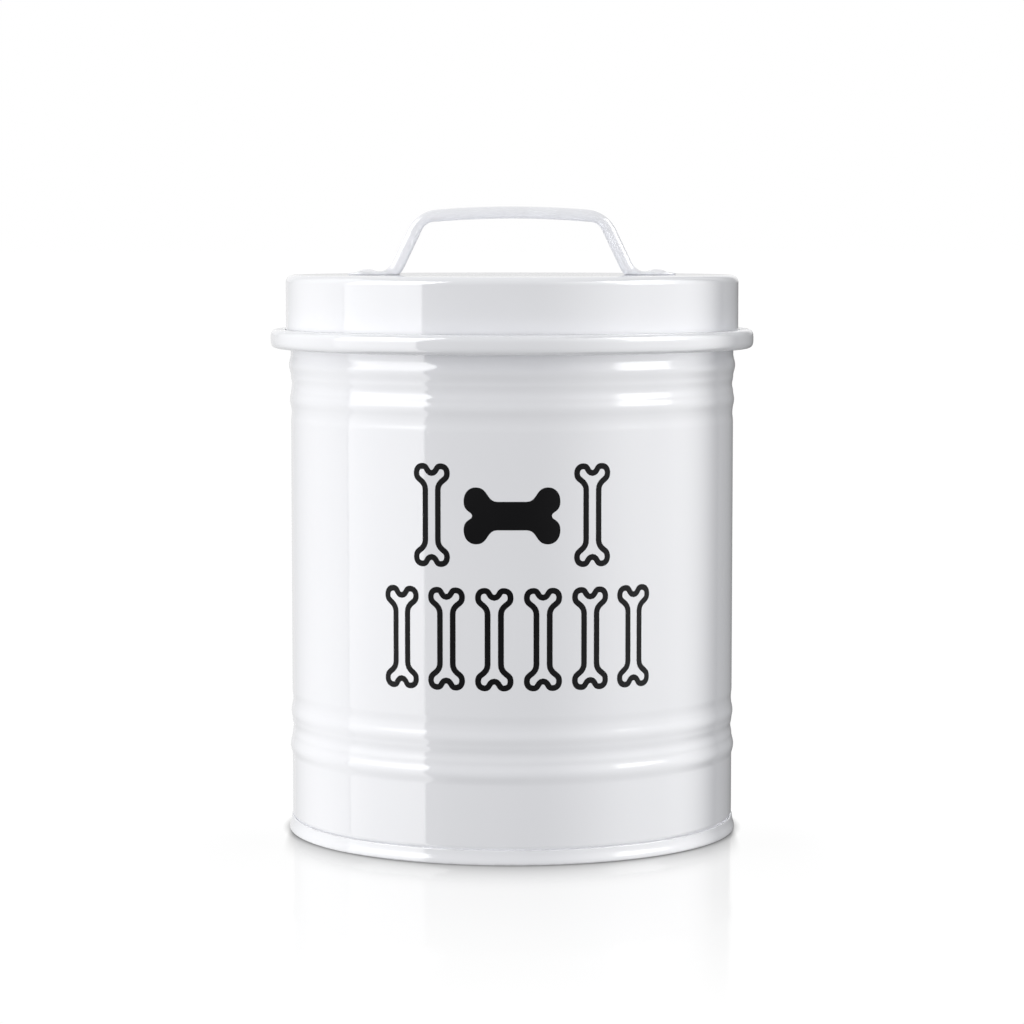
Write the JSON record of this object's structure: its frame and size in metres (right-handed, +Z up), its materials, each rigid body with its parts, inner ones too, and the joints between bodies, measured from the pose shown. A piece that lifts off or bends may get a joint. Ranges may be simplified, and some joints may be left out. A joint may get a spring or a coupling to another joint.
{
  "type": "pet food bin",
  "caption": "Round lidded bin of painted sheet steel with rolled beads, a slip-over lid with a curled edge and a strap handle across it.",
  "frame": {"origin": "centre of the foot, on the surface that the bin stands on", "axes": "+Z up along the bin's axis, handle's bar along X, printed side towards -Y"},
  "size_m": [0.1526, 0.1526, 0.1972],
  "materials": {
    "wall_enamel": "white gloss enamel on sheet steel",
    "print_ink": "black gloss ink printed on the wall's enamel",
    "base_enamel": "white gloss enamel",
    "lid_enamel": "white gloss enamel",
    "handle_enamel": "white gloss enamel",
    "rivet_enamel": "white enamel over a steel rivet",
    "zinc_steel": "bright zinc plate",
    "silicone": "milky matt silicone"
  },
  "bodies": {
    "bin": {"body_wall": "wall_enamel", "base_plate": "base_enamel"},
    "seal": {"lid_seal": "silicone"},
    "lid": {"lid_shell": "lid_enamel", "handle": "handle_enamel", "rivet_left": "rivet_enamel", "rivet_right": "rivet_enamel", "washer_left": "zinc_steel", "washer_right": "zinc_steel"}
  },
  "joints": [
    {"name": "lid_lift", "type": "slide", "parent": "bin", "child": "seal", "axis": [0, 0, 1], "range_m": [0, 0.1]},
    {"name": "lid_turn", "type": "hinge", "parent": "seal", "child": "lid", "pos_m": [0, 0, 0.1758], "axis": [0, 0, 1], "continuous": true}
  ]
}
